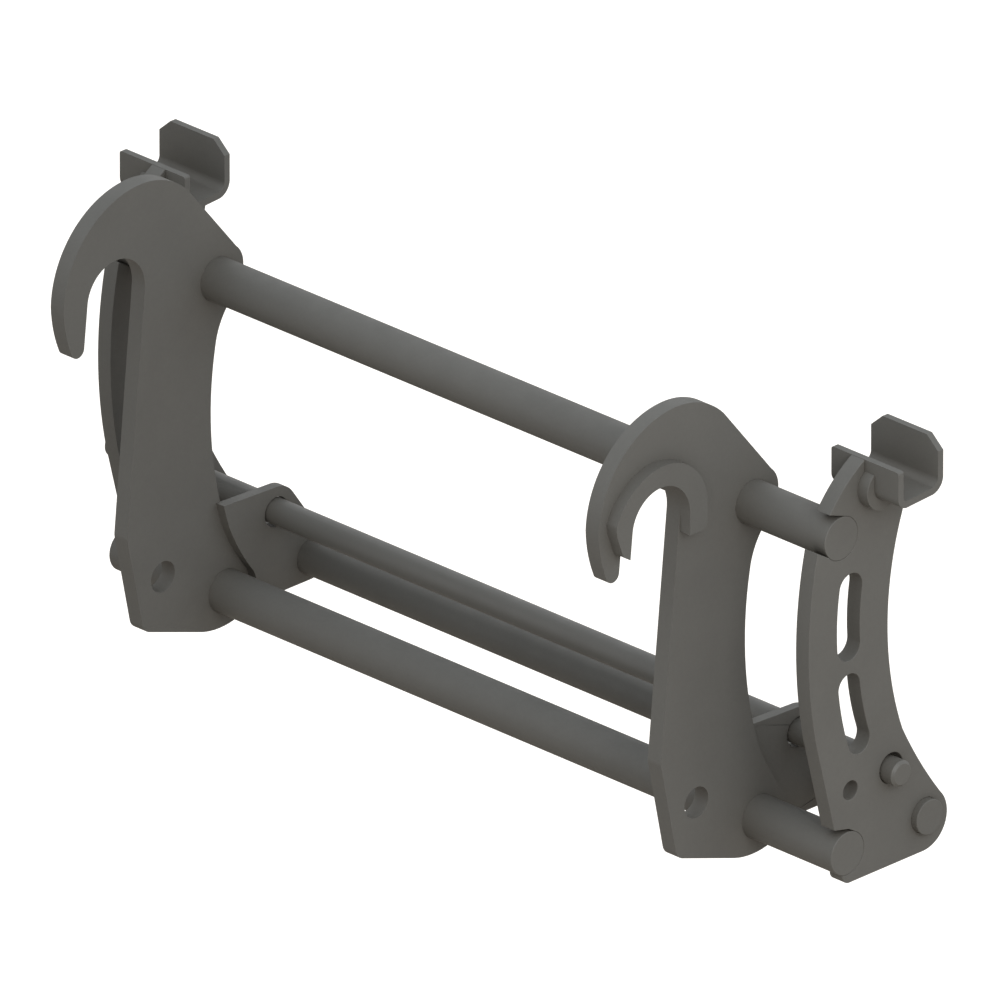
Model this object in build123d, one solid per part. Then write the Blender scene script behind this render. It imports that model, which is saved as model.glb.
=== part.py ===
from build123d import *
from math import asin, atan2, cos, degrees, hypot, radians, sin
import os

# Loader adapter frame: a welded steel frame that hangs by two hooks on a loader's cross shaft and
# carries a tool on two trays at the top and on a long locking rod at the bottom.
# Millimetres. +X runs along the bars, +Y points to the tool, +Z is up. The origin lies midway
# between the hooks, on the axis of the cross shaft that the hooks sit on.

# Overall layout along X
FRAME_WIDTH = 1096.0
LEFT_PLATE_INSET = 19.0
HOOK_WIDTH = 829.0
RIGHT_LUG_OUTSET = 3.0
PLATE = 20.0
LUG_PLATE = 12.0
COLLAR_PLATE = 15.0

# Round bars and the locking rod
BAR_DIA = 50.0
REAR_BAR_DIA = 40.0
REAR_BAR_PROUD = 8.0
ROD_DIA = 30.0
ROD_HOLE_DIA = 35.0
ROD_OUT_RIGHT = 17.0
ROD_OUT_LEFT = 86.0
ROD_CHAMFER = 3.0
BAR_CHAMFER = 0.6
WELD_GAP = 0.05
REST_GAP = 0.3

# Places in the side view, (Y, Z) from the cross shaft's axis
TOP_BAR = (152.0, -27.0)
FRONT_BAR = (163.0, -400.0)
REAR_BAR = (280.0, -393.4)
ROD_HOLE = (228.8, -320.9)
LOCK_HOLE = (68.8, -353.0)
SPARE_HOLE = (167.0, -327.0)

# Hook plate
THROAT_R = 43.3
LOCK_HOLE_DIA = 36.0
TIP_CENTRE = (-58.0, -44.0)
TIP_R = 9.8
HOOK_BACK = (-79.0, 8.0)
HOOK_BACK_LOW = (-76.5, -16.0)
HOOK_BACK_HIGH = (-49.5, 81.5)
HOOK_CREST = (32.0, 120.8)
HOOK_CREST_REAR = (73.0, 114.5)
HOOK_SLOPE_TOP = (109.0, 90.5)
HOOK_SLOPE_END = (181.0, 2.5)
KNEE = (15.0, -292.0)
KNEE_R = 18.0
TOE = (39.6, -409.2)
TOE_R = 15.0
SOLE_END = (128.0, -438.2)
SOLE_ROUND = (152.0, -441.9)
SHOULDER_WALL = 14.8
SHOULDER_TOP_WALL = 16.5
BOSS_WALL = 16.5
WAIST_TOP = (149.0, -107.0)
WAIST = (143.0, -215.0)
WAIST_LOW = (163.0, -317.0)
WAIST_BLEND = (173.5, -339.5)
NECK_BLEND = (155.5, -84.0)

# Collar round the hook's throat
COLLAR_BAND = 26.7
COLLAR_LEG_END = -26.5
COLLAR_LEG_R = 9.0
COLLAR_TOP = (-4.0, 67.0)
COLLAR_LEFT_HIGH = (-46.5, 47.5)
COLLAR_LEFT = (-67.5, 17.0)
COLLAR_NECK = (-66.0, 6.0)
COLLAR_LEFT_LOW = (-57.0, -19.0)

# Outer plate
FRONT_TOP = (-35.5, -6.5)
FRONT_BELLY = (103.5, -150.0)
FRONT_LOW = (115.0, -257.0)
FRONT_END = (-20.0, 33.0)
FRONT_RELIEF = (2.0, 28.0)
HORN_FOOT = (-17.5, 32.5)
HORN_BOW = (155.5, 30.0)
REAR_TOP = (245.0, -24.0)
REAR_WAIST = (223.0, -152.0)
REAR_LOW = (246.0, -280.0)
REAR_BLEND = (281.5, -341.5)
REAR_CORNER_SHIFT = (-2.0, -5.6)
REAR_CORNER_R = 36.5
FOOT_ROUND = (-4.7, -32.2)
FOOT_START = 4.0
SPARE_HOLE_DIA = 22.0
UPPER_SLOT = ((164.0, -157.0), (163.6, -123.0), (167.0, -90.0))
UPPER_SLOT_WIDTH = 34.0
LOWER_SLOT = ((165.0, -206.0), (170.8, -239.5), (180.0, -272.0))
LOWER_SLOT_WIDTH = 32.0

# Lug plate
LUG_NOSE_R = 30.0
LUG_NOSE_CENTRE = (0.2, -4.1)
LUG_TOP_FALL = 3.5
LUG_HEEL_R = 28.0
LUG_LAP = 6.0
LUG_HOLE_DROP = 3.2

# Tray
TRAY_WIDTH = 100.0
TRAY_SHEET = 8.0
TRAY_LIP_Y = 187.0
TRAY_DEPTH = 68.0
TRAY_FLOOR_Z = 9.0
TRAY_FLOOR_RISE = 0.06
LIP_TOP_Z = 54.0
WALL_TOP_Z = 75.0
LIP_BEND = 5.0
WALL_BEND = 10.0
WALL_CHAMFER_X = 17.0
WALL_CHAMFER_Z = 15.0
LIP_CORNER_R = 3.0

# Round ear between the outer plate and the tray's lip
EAR_R = 24.5
EAR_THICK = 15.0
EAR_CENTRE = (200.5, 20.5)

# Linch pin with its ring, near the rod's left end
PIN_FROM_END = 28.0
PIN_DIA = 11.0
PIN_CLEARANCE = 0.4
HEAD_R = 8.0
HEAD_WIDTH = 14.0
RING_WIRE = 4.0
RING_R = 27.0
RING_ARM = 10.0
RING_STUB = 3.0
PIN_TIP_CHAMFER = 2.5

# Worked-out sizes
BAR_R = BAR_DIA / 2
SEAT_R = BAR_R + WELD_GAP
REAR_SEAT_R = REAR_BAR_DIA / 2 + WELD_GAP
ROD_R = ROD_DIA / 2
HALF_WIDTH = FRAME_WIDTH / 2
ROD_AXIS = (ROD_HOLE[0], ROD_HOLE[1] - (ROD_HOLE_DIA / 2 - ROD_R - REST_GAP))
PIN_X = -(HALF_WIDTH + ROD_OUT_LEFT) + PIN_FROM_END
HEAD_Z = ROD_AXIS[1] + ROD_R + REST_GAP + HEAD_R


def polar(centre, radius, angle):
    """The point at this radius and angle in degrees round a centre."""
    return (centre[0] + radius * cos(radians(angle)), centre[1] + radius * sin(radians(angle)))


def beside(point, shift):
    """The point this far from another, in Y and Z."""
    return (point[0] + shift[0], point[1] + shift[1])


def chain(*steps):
    """A closed face from points, where a pair (via, end) is an arc and a point alone is a line."""
    here = steps[0]
    edges = []
    for step in steps[1:] + (steps[0],):
        if isinstance(step[0], tuple):
            edges.append(ThreePointArc(here, step[0], step[1]))
            here = step[1]
        elif hypot(step[0] - here[0], step[1] - here[1]) > 0.01:
            edges.append(Line(here, step))
            here = step
    return make_face(edges)


def disc(centre, radius):
    """A round face at a place in the side view."""
    return Pos(centre[0], centre[1]) * Circle(radius)


def rounded(face, corner, radius):
    """The face with the corner nearest a point rounded."""
    vertex = face.vertices().sort_by_distance((corner[0], corner[1], 0))[0]
    return fillet(vertex, radius)


def slab(face, start, thickness):
    """A plate in the YZ plane, from X = start towards +X."""
    return extrude(Plane.YZ.offset(start) * face, amount=thickness)


def bar(centre, diameter, start, end, chamfer_size):
    """A round bar along X with its ends chamfered."""
    body = slab(disc(centre, diameter / 2), start, end - start)
    return chamfer(body.edges().filter_by(GeomType.CIRCLE), chamfer_size)


def hook_outline():
    """The hook plate's outline, without its holes."""
    boss_r = BAR_R + BOSS_WALL
    shoulder_r = BAR_R + SHOULDER_WALL
    face = chain(
        beside(TIP_CENTRE, (TIP_R, 0)),
        polar((0, 0), THROAT_R, 176),
        ((0, THROAT_R), polar((0, 0), THROAT_R, -4)),
        KNEE,
        TOE,
        SOLE_END,
        (SOLE_ROUND, polar(FRONT_BAR, boss_r, -73)),
        (polar(FRONT_BAR, boss_r, -22), polar(FRONT_BAR, boss_r, 30)),
        (WAIST_BLEND, WAIST_LOW),
        (WAIST, WAIST_TOP),
        (NECK_BLEND, polar(TOP_BAR, shoulder_r, -66)),
        (polar(TOP_BAR, shoulder_r, -30), polar(TOP_BAR, shoulder_r, 4)),
        (polar(TOP_BAR, BAR_R + SHOULDER_TOP_WALL, 24), HOOK_SLOPE_END),
        HOOK_SLOPE_TOP,
        (HOOK_CREST_REAR, HOOK_CREST),
        (HOOK_BACK_HIGH, HOOK_BACK),
        (HOOK_BACK_LOW, polar(TIP_CENTRE, TIP_R, 196)),
        (polar(TIP_CENTRE, TIP_R, 270), beside(TIP_CENTRE, (TIP_R, 0))),
    )
    face = rounded(face, KNEE, KNEE_R)
    return rounded(face, TOE, TOE_R)


def hook_plate(start):
    """A hook plate: the hook, the bar holes and the hole for the loader's lock pin."""
    face = hook_outline()
    face -= disc(TOP_BAR, SEAT_R)
    face -= disc(FRONT_BAR, SEAT_R)
    face -= disc(LOCK_HOLE, LOCK_HOLE_DIA / 2)
    return slab(face, start, PLATE)


def hook_collar(start):
    """The band welded round the throat, which widens the seat of the cross shaft."""
    outer_r = THROAT_R + COLLAR_BAND
    inner_foot = (THROAT_R, COLLAR_LEG_END)
    outer_foot = (outer_r, COLLAR_LEG_END)
    drop = COLLAR_LEG_END / TIP_CENTRE[1]
    left_foot = (-THROAT_R + (TIP_CENTRE[0] + TIP_R + THROAT_R) * drop, COLLAR_LEG_END)
    face = chain(
        left_foot,
        polar((0, 0), THROAT_R, 176),
        ((0, THROAT_R), (THROAT_R, 0)),
        inner_foot,
        outer_foot,
        (outer_r, 0),
        (polar((0, 0), outer_r, 45), COLLAR_TOP),
        (COLLAR_LEFT_HIGH, COLLAR_LEFT),
        COLLAR_NECK,
        COLLAR_LEFT_LOW,
    )
    face = rounded(face, outer_foot, COLLAR_LEG_R)
    return slab(face, start, COLLAR_PLATE)


def tray_corner(y):
    """The height of the tray's underside at this Y, before its bends."""
    return TRAY_FLOOR_Z + (y - TRAY_LIP_Y) * TRAY_FLOOR_RISE


def tray_envelope(grow):
    """The space that the tray fills in the side view, grown outwards, open at the top."""
    front = TRAY_LIP_Y - grow
    rear = TRAY_LIP_Y + TRAY_DEPTH + grow
    top = WALL_TOP_Z + PLATE
    face = chain(
        (front, top),
        (front, tray_corner(TRAY_LIP_Y) - grow),
        (rear, tray_corner(TRAY_LIP_Y + TRAY_DEPTH) - grow),
        (rear, top),
    )
    face = rounded(face, (front, tray_corner(TRAY_LIP_Y)), LIP_BEND + TRAY_SHEET + grow)
    return rounded(face, (rear, tray_corner(TRAY_LIP_Y + TRAY_DEPTH)), WALL_BEND + TRAY_SHEET + grow)


def outer_plate(start):
    """An outer side plate with its horn, bar notches, slots and holes."""
    rear_centre = beside(REAR_BAR, REAR_CORNER_SHIFT)
    bottom = rear_centre[1] - REAR_CORNER_R
    face = chain(
        beside(TOP_BAR, HORN_FOOT),
        (HORN_BOW, (TRAY_LIP_Y, LIP_TOP_Z)),
        (REAR_TOP[0], LIP_TOP_Z),
        beside(REAR_TOP, (TRAY_SHEET, -REAR_TOP[1] + TRAY_FLOOR_Z + TRAY_SHEET)),
        REAR_TOP,
        (REAR_WAIST, REAR_LOW),
        (REAR_BLEND, polar(rear_centre, REAR_CORNER_R, 44)),
        (polar(rear_centre, REAR_CORNER_R, -23), (rear_centre[0], bottom)),
        (FRONT_BAR[0] + FOOT_START, bottom),
        (beside(FRONT_BAR, FOOT_ROUND), polar(FRONT_BAR, SEAT_R, 253)),
        (polar(FRONT_BAR, SEAT_R, -25), polar(FRONT_BAR, SEAT_R, 58)),
        beside(FRONT_BAR, FRONT_RELIEF),
        beside(FRONT_BAR, FRONT_END),
        FRONT_LOW,
        (FRONT_BELLY, beside(TOP_BAR, FRONT_TOP)),
        polar(TOP_BAR, SEAT_R, 222),
        (polar(TOP_BAR, SEAT_R, -30), polar(TOP_BAR, SEAT_R, 73)),
    )
    face -= tray_envelope(WELD_GAP)
    face -= disc(REAR_BAR, REAR_SEAT_R)
    face -= disc(ROD_HOLE, ROD_HOLE_DIA / 2)
    face -= disc(SPARE_HOLE, SPARE_HOLE_DIA / 2)
    face -= SlotArc(ThreePointArc(*UPPER_SLOT), UPPER_SLOT_WIDTH)
    face -= SlotArc(ThreePointArc(*LOWER_SLOT), LOWER_SLOT_WIDTH)
    return slab(face, start, PLATE)


def lug_plate(start, hook_edge):
    """A lug behind a hook plate, cut along its rear edge, that holds the locking rod and rear bar."""
    nose = beside(ROD_HOLE, LUG_NOSE_CENTRE)
    top = nose[1] + LUG_NOSE_R
    run = degrees(atan2(REAR_BAR[1] - nose[1], REAR_BAR[0] - nose[0]))
    lean = degrees(asin((LUG_NOSE_R - LUG_HEEL_R) / hypot(REAR_BAR[0] - nose[0], REAR_BAR[1] - nose[1])))
    side = run + 90 - lean
    bottom = REAR_BAR[1] - LUG_HEEL_R
    face = chain(
        (FRONT_BAR[0] - BAR_R, top + LUG_TOP_FALL),
        (nose[0], top),
        (polar(nose, LUG_NOSE_R, (90 + side) / 2), polar(nose, LUG_NOSE_R, side)),
        polar(REAR_BAR, LUG_HEEL_R, side),
        (polar(REAR_BAR, LUG_HEEL_R, side / 2 - 45), (REAR_BAR[0], bottom)),
        (FRONT_BAR[0], bottom),
    )
    face -= offset(hook_outline(), amount=hook_edge)
    face -= disc(beside(ROD_HOLE, (0, -LUG_HOLE_DROP)), ROD_HOLE_DIA / 2)
    face -= disc(REAR_BAR, REAR_SEAT_R)
    return slab(face, start, LUG_PLATE)


def tray(start):
    """A bent plate tray: low lip in front, sloping floor, high rear wall with cut corners."""
    rear = TRAY_LIP_Y + TRAY_DEPTH
    lip_in = TRAY_LIP_Y + TRAY_SHEET
    wall_in = rear - TRAY_SHEET
    low_front = (TRAY_LIP_Y, tray_corner(TRAY_LIP_Y))
    low_rear = (rear, tray_corner(rear))
    in_front = (lip_in, tray_corner(lip_in) + TRAY_SHEET)
    in_rear = (wall_in, tray_corner(wall_in) + TRAY_SHEET)
    face = chain(
        (TRAY_LIP_Y, LIP_TOP_Z),
        low_front,
        low_rear,
        (rear, WALL_TOP_Z),
        (wall_in, WALL_TOP_Z),
        in_rear,
        in_front,
        (lip_in, LIP_TOP_Z),
    )
    face = rounded(face, low_front, LIP_BEND + TRAY_SHEET)
    face = rounded(face, low_rear, WALL_BEND + TRAY_SHEET)
    face = rounded(face, in_front, LIP_BEND)
    face = rounded(face, in_rear, WALL_BEND)
    body = slab(face, start, TRAY_WIDTH)
    low = WALL_TOP_Z - WALL_CHAMFER_Z
    for end, inward in ((start, 1), (start + TRAY_WIDTH, -1)):
        corner = chain((end, low), (end, WALL_TOP_Z), (end + inward * WALL_CHAMFER_X, WALL_TOP_Z))
        body -= extrude(Plane.XZ.offset(-rear) * corner, amount=TRAY_SHEET)
    lip_corners = body.edges().filter_by(Axis.Y).group_by(Axis.Z)
    lip_edges = [group for group in lip_corners if abs(group[0].center().Z - LIP_TOP_Z) < LIP_CORNER_R]
    return fillet(lip_edges[0], LIP_CORNER_R)


def tray_ear(start):
    """The round ear that ties the outer plate to the tray's lip and underside."""
    face = disc(EAR_CENTRE, EAR_R) - tray_envelope(WELD_GAP)
    return slab(face, start, EAR_THICK)


def locking_rod():
    """The long rod that carries the tool's lower eyes, with a cross hole for the linch pin."""
    rod = bar(ROD_AXIS, ROD_DIA, -HALF_WIDTH - ROD_OUT_LEFT, HALF_WIDTH + ROD_OUT_RIGHT, ROD_CHAMFER)
    hole = Cylinder(PIN_DIA / 2 + PIN_CLEARANCE, 2 * ROD_DIA)
    return rod - Pos(PIN_X, ROD_AXIS[0], ROD_AXIS[1]) * hole


def ring_centre():
    """The height of the ring's middle: its ends run into the pin's head from both sides."""
    return HEAD_Z - (RING_R**2 - RING_ARM**2) ** 0.5


def linch_pin():
    """The linch pin: a round shank with a barrel head that the ring turns in."""
    tip = ring_centre() - RING_R + RING_WIRE / 2 + 2 * REST_GAP
    shank = Pos(0, 0, tip) * Cylinder(PIN_DIA / 2, HEAD_Z - tip, align=(Align.CENTER, Align.CENTER, Align.MIN))
    shank = chamfer(shank.edges().sort_by(Axis.Z)[0], PIN_TIP_CHAMFER)
    head = Pos(0, 0, HEAD_Z) * Rot(90, 0, 0) * Cylinder(HEAD_R, HEAD_WIDTH)
    eye = Pos(0, 0, HEAD_Z) * Rot(90, 0, 0) * Cylinder(RING_WIRE / 2 + REST_GAP, 2 * HEAD_WIDTH)
    return Pos(PIN_X, ROD_AXIS[0], 0) * (shank + head - eye)


def linch_ring():
    """The spring ring that closes round the rod against the pin's tip."""
    centre = (0, ring_centre())
    spread = degrees(asin(RING_ARM / RING_R))
    right_end = polar(centre, RING_R, 90 - spread)
    left_end = polar(centre, RING_R, 90 + spread)
    loop = Plane.YZ * ThreePointArc(right_end, polar(centre, RING_R, 270), left_end)
    ring = sweep((loop ^ 0) * Circle(RING_WIRE / 2), path=loop)
    for side in (1, -1):
        stub = slab(disc((0, 0), RING_WIRE / 2), 0, RING_ARM - RING_STUB)
        ring += Pos(0, side * RING_ARM, HEAD_Z) * Rot(0, 0, -90 * side) * stub
        ring += Pos(0, side * RING_ARM, HEAD_Z) * Sphere(RING_WIRE / 2)
    return Pos(PIN_X, ROD_AXIS[0], 0) * ring


def build():
    """Every piece under its node name. Left pieces mirror the right ones, save the lugs and collar."""
    hook_start = HOOK_WIDTH / 2 - PLATE
    right = {
        "hook_plate": hook_plate(hook_start),
        "outer_plate": outer_plate(HALF_WIDTH - PLATE),
        "tray": tray(HALF_WIDTH - TRAY_WIDTH / 2),
        "tray_ear": tray_ear(HALF_WIDTH),
    }
    pieces = {
        "top_bar": bar(TOP_BAR, BAR_DIA, -HALF_WIDTH, HALF_WIDTH, BAR_CHAMFER),
        "front_bar": bar(FRONT_BAR, BAR_DIA, -HALF_WIDTH, HALF_WIDTH, BAR_CHAMFER),
        "rear_bar": bar(
            REAR_BAR, REAR_BAR_DIA, -HALF_WIDTH - REAR_BAR_PROUD, HALF_WIDTH + REAR_BAR_PROUD, BAR_CHAMFER
        ),
        "locking_rod": locking_rod(),
        "linch_pin": linch_pin(),
        "linch_ring": linch_ring(),
        "hook_collar": hook_collar(hook_start + PLATE),
        "lug_plate_left": lug_plate(-hook_start, -LUG_LAP),
        "lug_plate_right": lug_plate(hook_start + RIGHT_LUG_OUTSET, WELD_GAP),
    }
    for name, piece in right.items():
        inset = LEFT_PLATE_INSET if name in ("outer_plate", "tray", "tray_ear") else 0
        pieces[name + "_right"] = piece
        pieces[name + "_left"] = Pos(inset, 0, 0) * mirror(piece, about=Plane.YZ)
    return pieces


os.makedirs("parts", exist_ok=True)
for node, solid in build().items():
    export_step(solid, f"parts/{node}.step")
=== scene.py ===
# Loader adapter frame: the look of the welded frame with its locking rod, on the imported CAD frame.
# Metres. +X runs along the bars, +Y points to the tool, +Z is up. The origin lies on the axis of the
# loader's cross shaft, midway between the two hooks.
import math

import bpy
import numpy as np
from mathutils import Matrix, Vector

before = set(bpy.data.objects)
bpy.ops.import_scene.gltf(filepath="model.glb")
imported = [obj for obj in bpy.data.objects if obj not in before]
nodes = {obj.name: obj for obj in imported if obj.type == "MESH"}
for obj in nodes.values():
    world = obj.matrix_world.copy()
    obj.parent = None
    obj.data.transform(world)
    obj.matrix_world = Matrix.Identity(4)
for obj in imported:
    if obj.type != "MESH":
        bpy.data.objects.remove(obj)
scene = bpy.context.scene
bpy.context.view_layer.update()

# Paint. A matte warm grey with a slow change of tone and a fine grain, with painted shade that
# darkens it where parts meet.
# The helpers for shader nodes live here, and every later material uses them.
FRAME_GREY = (0.133, 0.130, 0.120)
# Painted shade: the colour is multiplied by this tint where an ambient occlusion node finds other
# geometry within this reach.
CREASE_SHADE_TINT = (0.86, 0.80, 0.73)
CREASE_SHADE_REACH = 0.07
CREASE_SHADE_SAMPLES = 8
SPECULAR = 0.35
ROUGHNESS_SWING = 0.06
TONE_SCALE = 9.0
GRAIN_SCALE = 260.0
WEAR_SCALE = 40.0
BUMP_SCALE = 900.0
BUMP_STRENGTH = 0.25
BUMP_HEIGHT = 0.0001
NOISE_LOW = 0.35
NOISE_HIGH = 0.65


def new_material(name):
    """An empty node material and its Principled shader."""
    material = bpy.data.materials.new(name)
    material.use_nodes = True
    return material, material.node_tree.nodes["Principled BSDF"]


def add(tree, kind, operation=None, **values):
    """A shader node with its operation and some of its input values set by socket name."""
    node = tree.nodes.new(kind)
    if operation:
        node.operation = operation
    for name, value in values.items():
        node.inputs[name].default_value = value
    return node


def link(tree, *pairs):
    """Joins each output socket to the input socket that follows it."""
    for source, target in zip(pairs[::2], pairs[1::2]):
        tree.links.new(source, target)


def noise(tree, scale, detail):
    """A noise texture on the object's own coordinates."""
    place = tree.nodes.get("Texture Coordinate") or add(tree, "ShaderNodeTexCoord")
    texture = add(tree, "ShaderNodeTexNoise", Scale=scale, Detail=detail)
    link(tree, place.outputs["Object"], texture.inputs["Vector"])
    return texture.outputs["Fac"]


def spread(tree, value, low, high):
    """Maps the middle of a noise to low..high."""
    limits = {"From Min": NOISE_LOW, "From Max": NOISE_HIGH, "To Min": low, "To Max": high}
    node = add(tree, "ShaderNodeMapRange", **limits)
    link(tree, value, node.inputs["Value"])
    return node.outputs["Result"]


def paint(name, colour, tone, roughness):
    """Matte paint: colour times a slow tone change, painted shade in creases from an ambient
    occlusion node, and a fine grain in the bump.
    """
    material, shader = new_material(name)
    tree = material.node_tree
    shader.inputs["Specular IOR Level"].default_value = SPECULAR
    slow = spread(tree, noise(tree, TONE_SCALE, 3.0), 1.0 - tone, 1.0 + tone)
    fine = spread(tree, noise(tree, GRAIN_SCALE, 2.0), 1.0 - tone / 2, 1.0 + tone / 2)
    product = add(tree, "ShaderNodeMath", "MULTIPLY")
    link(tree, slow, product.inputs[0], fine, product.inputs[1])
    scaled = add(tree, "ShaderNodeVectorMath", "SCALE")
    scaled.inputs[0].default_value = colour
    link(tree, product.outputs["Value"], scaled.inputs["Scale"])
    # Painted shade: an ambient occlusion node darkens the colour in creases and where parts meet.
    crease_shade = add(tree, "ShaderNodeAmbientOcclusion", Distance=CREASE_SHADE_REACH)
    crease_shade.samples = CREASE_SHADE_SAMPLES
    dark = add(tree, "ShaderNodeVectorMath", "MULTIPLY")
    dark.inputs[1].default_value = CREASE_SHADE_TINT
    link(tree, scaled.outputs["Vector"], dark.inputs[0])
    shade = add(tree, "ShaderNodeMix")
    shade.data_type = "RGBA"
    link(tree, crease_shade.outputs["AO"], shade.inputs["Factor"])
    link(tree, dark.outputs["Vector"], shade.inputs[6], scaled.outputs["Vector"], shade.inputs[7])
    link(tree, shade.outputs[2], shader.inputs["Base Color"])
    wear = noise(tree, WEAR_SCALE, 4.0)
    rough = spread(tree, wear, roughness - ROUGHNESS_SWING, roughness + ROUGHNESS_SWING)
    link(tree, rough, shader.inputs["Roughness"])
    bump = add(tree, "ShaderNodeBump", Strength=BUMP_STRENGTH, Distance=BUMP_HEIGHT)
    link(tree, noise(tree, BUMP_SCALE, 3.0), bump.inputs["Height"])
    link(tree, bump.outputs["Normal"], shader.inputs["Normal"])
    return material


frame_paint = paint("frame_paint", FRAME_GREY, 0.03, 0.60)
rod_paint = paint("rod_paint", FRAME_GREY, 0.02, 0.46)

# Pin steel. Zinc-plated wire and pin stock, brighter than the painted frame.
STEEL_GREY = (0.42, 0.41, 0.39, 1.0)
pin_steel, shader = new_material("pin_steel")
tree = pin_steel.node_tree
shader.inputs["Metallic"].default_value = 1.0
shader.inputs["Base Color"].default_value = STEEL_GREY
link(tree, spread(tree, noise(tree, 120.0, 4.0), 0.28, 0.42), shader.inputs["Roughness"])

# Frame pieces. The CAD plates, bars, lugs, trays and ears stay, with a small worn radius on their
# edges and the paint on top.
PLATE_EDGE = 0.0008
FITTING_EDGE = 0.0006
TRAY_EDGE = 0.0005
BAR_EDGE = 0.0003
ROD_EDGE = 0.0004
WIRE_EDGE = 0.0001
WELD_REACH = 0.00001
SHARP_ANGLE = math.radians(32)
FACE_WEIGHT = 90


def dress(node, material, edge):
    """Paints a CAD node and rounds its sharp edges by a small radius."""
    piece = nodes[node]
    piece.data.materials.clear()
    piece.data.materials.append(material)
    piece.data.polygons.foreach_set("use_smooth", np.ones(len(piece.data.polygons), dtype=bool))
    weld = piece.modifiers.new("weld", "WELD")
    weld.merge_threshold = WELD_REACH
    bevel = piece.modifiers.new("edge", "BEVEL")
    bevel.width = edge
    bevel.segments = 3
    bevel.limit_method = "ANGLE"
    bevel.angle_limit = SHARP_ANGLE
    bevel.use_clamp_overlap = True
    normals = piece.modifiers.new("normals", "WEIGHTED_NORMAL")
    normals.keep_sharp = False
    normals.weight = FACE_WEIGHT


for name in sorted(nodes):
    if name.startswith(("hook_plate", "outer_plate")):
        dress(name, frame_paint, PLATE_EDGE)
    elif name.startswith(("lug_plate", "hook_collar", "tray_ear")):
        dress(name, frame_paint, FITTING_EDGE)
    elif name.startswith("tray"):
        dress(name, frame_paint, TRAY_EDGE)

for name in ("top_bar", "front_bar", "rear_bar"):
    dress(name, frame_paint, BAR_EDGE)

# Locking rod, linch pin and ring. The rod has the frame's grey, a little smoother from use.
dress("locking_rod", rod_paint, ROD_EDGE)
dress("linch_pin", pin_steel, ROD_EDGE)
dress("linch_ring", pin_steel, WIRE_EDGE)

# Floor. A pale plane below the frame that the camera sees as white and that still takes its shadow.
# Other rays meet its own warm colour, which lights the undersides.
WHITE = (1.0, 1.0, 1.0, 1.0)
FLOOR_SIZE = 60.0
FLOOR_HEIGHT = -0.75
FLOOR_COLOUR = (0.46, 0.40, 0.34, 1.0)
FLOOR_GLOW = 0.92


def any_ray(tree, *kinds):
    """A value that is 1 for a ray of any of these kinds and 0 otherwise."""
    rays = add(tree, "ShaderNodeLightPath")
    value = rays.outputs[kinds[0]]
    for kind in kinds[1:]:
        either = add(tree, "ShaderNodeMath", "MAXIMUM")
        link(tree, value, either.inputs[0], rays.outputs[kind], either.inputs[1])
        value = either.outputs["Value"]
    return value


def show(tree, factor, usual, seen, output):
    """Sends one shader to the output where the factor is 0 and the other where it is 1."""
    mix = add(tree, "ShaderNodeMixShader")
    link(tree, factor, mix.inputs["Fac"], usual, mix.inputs[1], seen, mix.inputs[2])
    link(tree, mix.outputs["Shader"], tree.nodes[output].inputs["Surface"])


bpy.ops.mesh.primitive_plane_add(size=FLOOR_SIZE, location=(0.0, 0.0, FLOOR_HEIGHT))
floor = bpy.context.object
floor.name = "floor"
floor_material, shader = new_material("floor")
tree = floor_material.node_tree
shader.inputs["Base Color"].default_value = FLOOR_COLOUR
shader.inputs["Roughness"].default_value = 0.9
glow = add(tree, "ShaderNodeEmission", Strength=FLOOR_GLOW, Color=WHITE)
lit = add(tree, "ShaderNodeAddShader")
link(tree, shader.outputs["BSDF"], lit.inputs[0], glow.outputs["Emission"], lit.inputs[1])
straight = any_ray(tree, "Is Camera Ray", "Is Transmission Ray")
show(tree, straight, shader.outputs["BSDF"], lit.outputs["Shader"], "Material Output")
floor.data.materials.append(floor_material)

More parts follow.
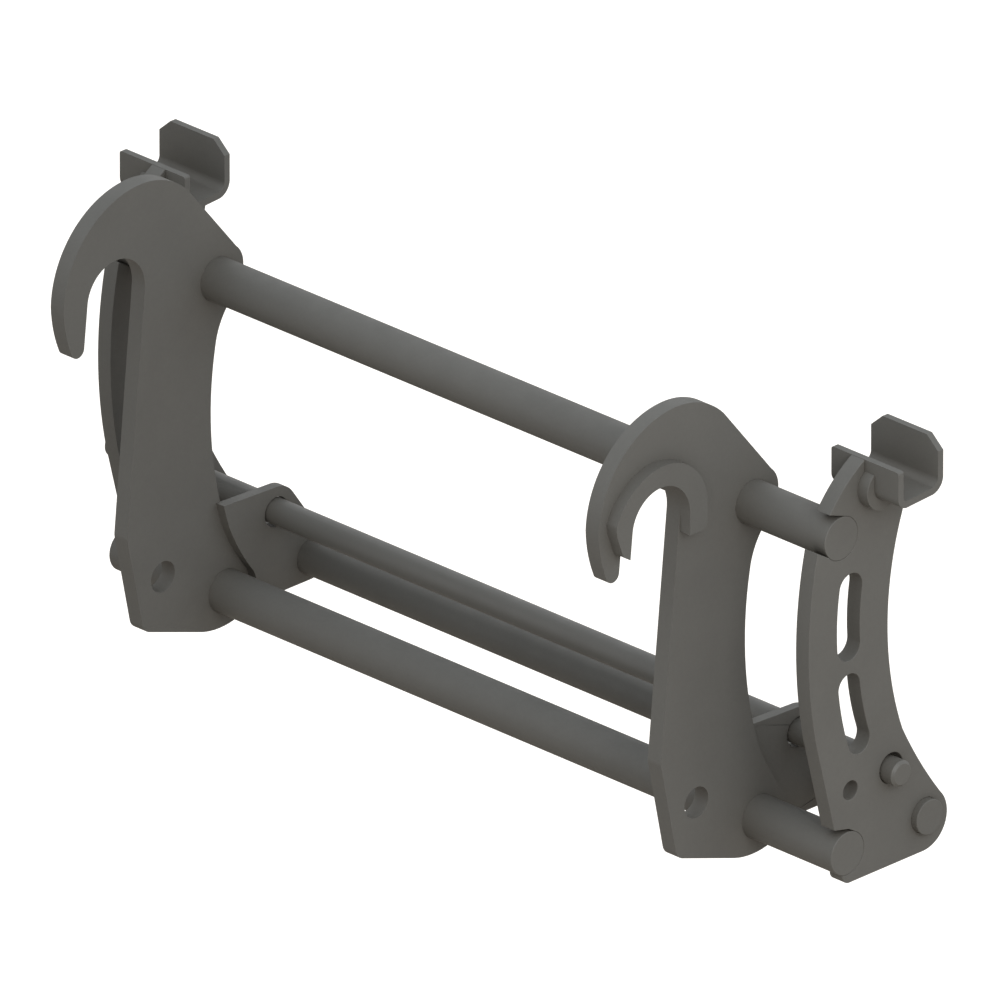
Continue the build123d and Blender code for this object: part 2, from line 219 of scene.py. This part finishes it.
# World. White to the camera, in mirrors and through glass, and a dimmer light on the frame that
# changes from warm and weak below to cool and strong above.
AMBIENT_STRENGTH = 0.86
AMBIENT_BELOW = (0.36, 0.30, 0.25, 1.0)
AMBIENT_ABOVE = (0.96, 1.03, 1.09, 1.0)
world = bpy.data.worlds.new("studio")
scene.world = world
world.use_nodes = True
tree = world.node_tree
ambient = tree.nodes["Background"]
ambient.inputs["Strength"].default_value = AMBIENT_STRENGTH
direction = add(tree, "ShaderNodeTexCoord")
height = add(tree, "ShaderNodeSeparateXYZ")
level = add(tree, "ShaderNodeMapRange", **{"From Min": -1.0})
sky = add(tree, "ShaderNodeValToRGB")
sky.color_ramp.elements[0].color = AMBIENT_BELOW
sky.color_ramp.elements[1].color = AMBIENT_ABOVE
link(tree, direction.outputs["Generated"], height.inputs["Vector"])
link(tree, height.outputs["Z"], level.inputs["Value"])
link(tree, level.outputs["Result"], sky.inputs["Fac"])
link(tree, sky.outputs["Color"], ambient.inputs["Color"])
backdrop = add(tree, "ShaderNodeBackground", Color=WHITE, Strength=1.0)
seen = any_ray(tree, "Is Camera Ray", "Is Transmission Ray", "Is Glossy Ray")
show(tree, seen, ambient.outputs["Background"], backdrop.outputs["Background"], "World Output")

# Lamps. A large soft key from the right of the camera, and a weak one from the front and above.


def lamp(name, place, aim, size, power, colour):
    """A square area lamp that the camera doesn't see."""
    data = bpy.data.lights.new(name, "AREA")
    data.size = size
    data.energy = power
    data.color = colour
    thing = bpy.data.objects.new(name, data)
    thing.location = place
    thing.rotation_euler = (Vector(aim) - Vector(place)).to_track_quat("-Z", "Y").to_euler()
    thing.visible_camera = False
    scene.collection.objects.link(thing)


lamp("front", (0.7, -1.6, 2.3), (0.0, 0.1, -0.1), 1.8, 5.0, (1.0, 0.98, 0.95))
lamp("key", (2.7, -0.9, 1.1), (0.0, 0.1, 0.0), 1.9, 32.0, (1.0, 1.0, 1.0))

# Camera. The photo is very nearly a parallel view, so a very long lens stands far off, 45 degrees
# round from the frame's front and 24.75 degrees up.
LENS = 1650.0
SENSOR_WIDTH = 36.0
PICTURE_WIDTH = 1.0716
TARGET = Vector((-0.0178, 0.2052, -0.1836))
AWAY = Vector((0.6421, -0.6421, 0.4187)).normalized()
camera_data = bpy.data.cameras.new("camera")
camera_data.lens = LENS
camera_data.sensor_width = SENSOR_WIDTH
camera_data.clip_start = 1.0
camera_data.clip_end = 200.0
camera = bpy.data.objects.new("camera", camera_data)
camera.location = TARGET + AWAY * (PICTURE_WIDTH * LENS / SENSOR_WIDTH)
camera.rotation_euler = (-AWAY).to_track_quat("-Z", "Y").to_euler()
scene.collection.objects.link(camera)
scene.camera = camera
scene.view_settings.view_transform = "Standard"
